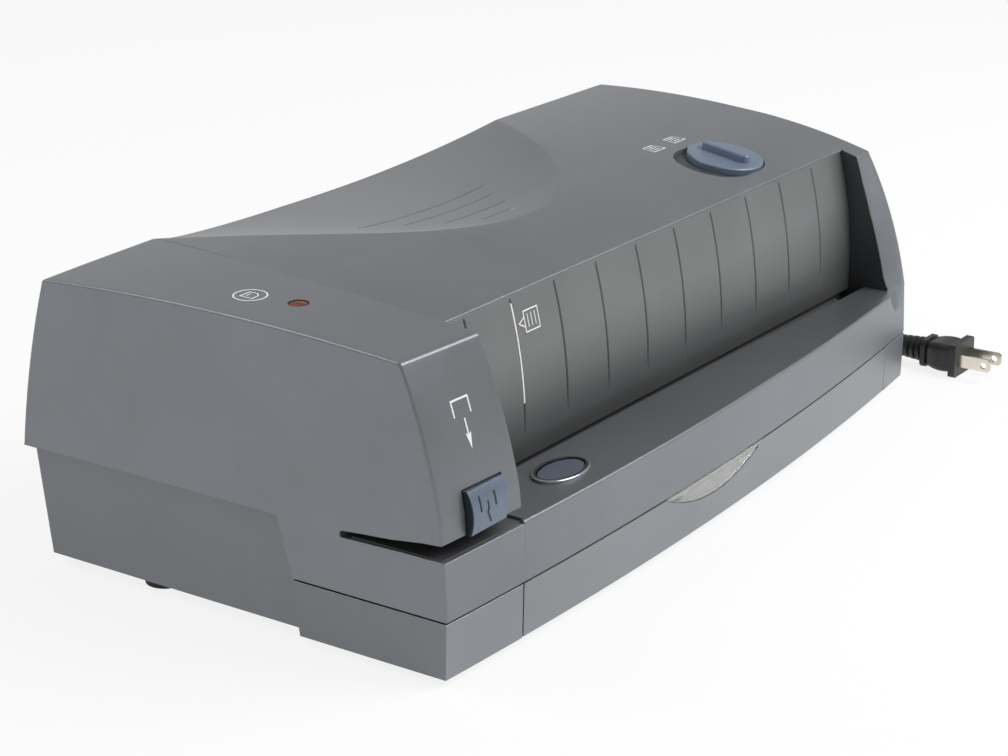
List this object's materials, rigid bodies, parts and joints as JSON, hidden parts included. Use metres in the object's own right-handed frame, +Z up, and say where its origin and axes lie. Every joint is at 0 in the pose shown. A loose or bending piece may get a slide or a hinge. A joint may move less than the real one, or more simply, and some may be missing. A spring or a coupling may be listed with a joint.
{
  "type": "electric hole punch",
  "caption": "Desk-top electric paper punch with a built-in stapler: bowed grey housing, grooved upright paper panel, chip tray drawer, sliding selector, staple head and mains cord.",
  "frame": {"origin": "middle of the machine's footprint on the table", "axes": "+X along the machine from the stapler head to the end wall, +Y towards the back, +Z up"},
  "size_m": [0.446, 0.3345, 0.1284],
  "materials": {
    "cover_grey": "satin metallic-grey moulded plastic",
    "base_grey": "satin grey moulded plastic",
    "panel_grey": "dark satin grey moulded plastic",
    "anvil_grey": "dark grey painted plate",
    "tray_grey": "satin metallic-grey moulded plastic",
    "foot_rubber": "black rubber",
    "clear_window": "clear polycarbonate",
    "bright_steel": "zinc-plated steel",
    "tool_steel": "ground tool steel",
    "chrome_steel": "nickel-plated steel",
    "bronze": "sintered bronze",
    "gear_plastic": "natural acetal",
    "staple_wire": "bright wire",
    "button_blue": "satin blue-grey plastic",
    "bezel_metal": "satin light grey ring",
    "lamp_red": "dark red lens",
    "coil_red": "enamelled winding with tape",
    "board_green": "circuit board",
    "core_iron": "laminated iron",
    "cord_black": "black flexible plastic",
    "blade_metal": "plated brass"
  },
  "bodies": {
    "root": {"upper_cover": "cover_grey", "base": "base_grey", "rubber_feet": "foot_rubber", "paper_panel": "panel_grey", "anvil_plate": "anvil_grey", "punch_frame": "bright_steel", "bearing_bushes": "bronze", "die_plate": "tool_steel", "pin_guide": "tool_steel", "motor": "bright_steel", "motor_bracket": "bright_steel", "stapler_frame": "bright_steel", "driver_solenoid": "coil_red", "driver_spring": "staple_wire", "circuit_board": "board_green", "board_stands": "base_grey", "board_screws": "staple_wire", "transformer_core": "core_iron", "transformer_winding": "coil_red", "oval_bezel": "bezel_metal", "button_bracket": "bright_steel", "button_spring": "staple_wire", "lamp_lens": "lamp_red", "cord_gland": "cord_black", "cord_tail": "cord_black", "cord_coil": "cord_black", "cord_lead": "cord_black", "plug_body": "cord_black", "plug_blades": "blade_metal"},
    "tray": {"chip_tray": "tray_grey", "tray_window": "clear_window"},
    "punch_carriage": {"punch_bar": "bright_steel", "punch_pins": "tool_steel"},
    "shaft": {"drive_shaft": "tool_steel", "drive_gear": "gear_plastic"},
    "motor_rotor": {"motor_pinion": "bronze"},
    "magazine": {"staple_magazine": "chrome_steel", "staple_rail": "gear_plastic", "staple_strip": "staple_wire"},
    "pusher": {"staple_pusher": "gear_plastic"},
    "nose": {"release_nose": "button_blue", "nose_stem": "button_blue"},
    "driver": {"driver_blade": "tool_steel", "driver_arm": "bright_steel", "driver_plunger": "tool_steel"},
    "selector": {"mode_selector": "button_blue", "selector_carrier": "gear_plastic"},
    "oval_key": {"oval_button": "button_blue"}
  },
  "joints": [
    {"name": "tray_slide", "type": "slide", "parent": "root", "child": "tray", "axis": [0, -1, 0], "range_m": [0, 0.055]},
    {"name": "selector_slide", "type": "slide", "parent": "root", "child": "selector", "axis": [-1, 0, 0], "range_m": [0, 0.011]},
    {"name": "magazine_slide", "type": "slide", "parent": "root", "child": "magazine", "axis": [0, -1, 0], "range_m": [0, 0.07]},
    {"name": "pusher_slide", "type": "slide", "parent": "magazine", "child": "pusher", "axis": [0, 1, 0], "range_m": [0, 0.06], "stiffness_N_per_m": 20, "springref_m": -0.03},
    {"name": "nose_press", "type": "slide", "parent": "magazine", "child": "nose", "axis": [0, 1, 0], "range_m": [0, 0.002], "stiffness_N_per_m": 600, "springref_m": -0.001},
    {"name": "driver_stroke", "type": "slide", "parent": "root", "child": "driver", "axis": [0, 0, -1], "range_m": [0, 0.0105], "stiffness_N_per_m": 300, "springref_m": -0.004, "deforming": ["driver_spring"]},
    {"name": "shaft_turn", "type": "hinge", "parent": "root", "child": "shaft", "pos_m": [0.0467, -0.0199, 0.052], "axis": [-1, 0, 0], "range_deg": [0, 65]},
    {"name": "motor_turn", "type": "hinge", "parent": "root", "child": "motor_rotor", "pos_m": [-0.0943, 0.00316, 0.07135], "axis": [1, 0, 0], "range_deg": [0, 261]},
    {"name": "punch_stroke", "type": "slide", "parent": "root", "child": "punch_carriage", "axis": [0, -1, 0], "range_m": [0, 0.0085]},
    {"name": "oval_press", "type": "slide", "parent": "root", "child": "oval_key", "axis": [0, 0, -1], "range_m": [0, 0.003], "stiffness_N_per_m": 400, "springref_m": -0.001, "deforming": ["button_spring"]}
  ],
  "couplings": [
    {"joint": "shaft_turn", "follows": "punch_stroke", "rad_per_m": 133.33},
    {"joint": "motor_turn", "follows": "punch_stroke", "rad_per_m": 533.33}
  ]
}
